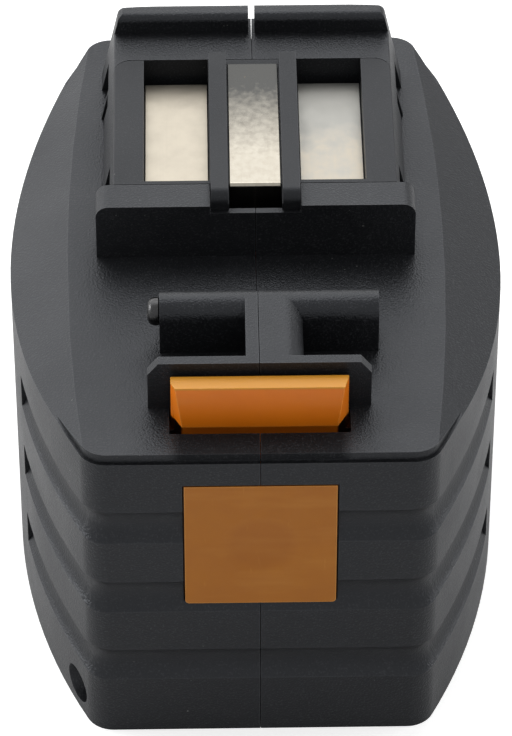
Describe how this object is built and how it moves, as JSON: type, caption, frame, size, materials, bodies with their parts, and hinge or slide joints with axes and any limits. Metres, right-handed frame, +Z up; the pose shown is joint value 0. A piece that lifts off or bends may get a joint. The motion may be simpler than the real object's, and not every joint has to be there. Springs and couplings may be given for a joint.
{
  "type": "power tool battery pack",
  "caption": "Slide-on rechargeable battery pack with a barrel-sided two-half case, a raised contact head, a sprung latch nose and a push button that draws it down.",
  "frame": {"origin": "middle of the flat base, on the seam plane, halfway between the button face and the back face", "axes": "+Z up to the contact head, +Y from the button face to the back, +X to the side away from the screw heads"},
  "size_m": [0.0848, 0.11, 0.0801],
  "materials": {
    "case": "fine-grained moulded",
    "carrier": "moulded, slightly smoother than the case",
    "orange": "satin moulded",
    "contact": "nickel plate with fine wear",
    "screw": "black zinc",
    "spring": "drawn wire",
    "cell": "shrink sleeve over a steel can",
    "nickel": "rolled nickel strip",
    "card": "plain card",
    "foam": "closed-cell foam",
    "cutout": "sleeved steel",
    "sensor": "epoxy",
    "lead": "insulated wire"
  },
  "bodies": {
    "case": {"left_case_half": "case", "right_case_half": "case", "case_screws": "screw", "contact_carrier": "carrier", "positive_contact": "contact", "negative_contact": "contact", "sense_contact": "contact", "latch_spring_left": "spring", "latch_spring_right": "spring", "cell_1": "cell", "cell_2": "cell", "cell_3": "cell", "cell_4": "cell", "cell_5": "cell", "cell_6": "cell", "cell_7": "cell", "cell_8": "cell", "cell_9": "cell", "cell_10": "cell", "bottom_link_1": "nickel", "bottom_link_2": "nickel", "bottom_link_3": "nickel", "bottom_link_4": "nickel", "bottom_link_5": "nickel", "top_link_1": "nickel", "top_link_2": "nickel", "top_link_3": "nickel", "top_link_4": "nickel", "bottom_card": "card", "top_card": "card", "side_foam_left": "foam", "side_foam_right": "foam", "top_foam_left": "foam", "top_foam_right": "foam", "positive_lead": "nickel", "negative_lead": "nickel", "thermal_cutout": "cutout", "thermistor": "sensor", "sense_lead": "lead"},
    "button": {"release_button": "orange"},
    "latch": {"latch": "orange"}
  },
  "joints": [
    {"name": "button_press", "type": "slide", "parent": "case", "child": "button", "axis": [0, 1, 0], "range_m": [0, 0.0035]},
    {"name": "latch_slide", "type": "slide", "parent": "case", "child": "latch", "axis": [0, 0, -1], "range_m": [0, 0.0035], "stiffness_N_per_m": 500, "springref_m": -0.004, "deforming": ["latch_spring_left", "latch_spring_right"]}
  ],
  "couplings": [
    {"joint": "latch_slide", "follows": "button_press", "ratio": 1}
  ]
}
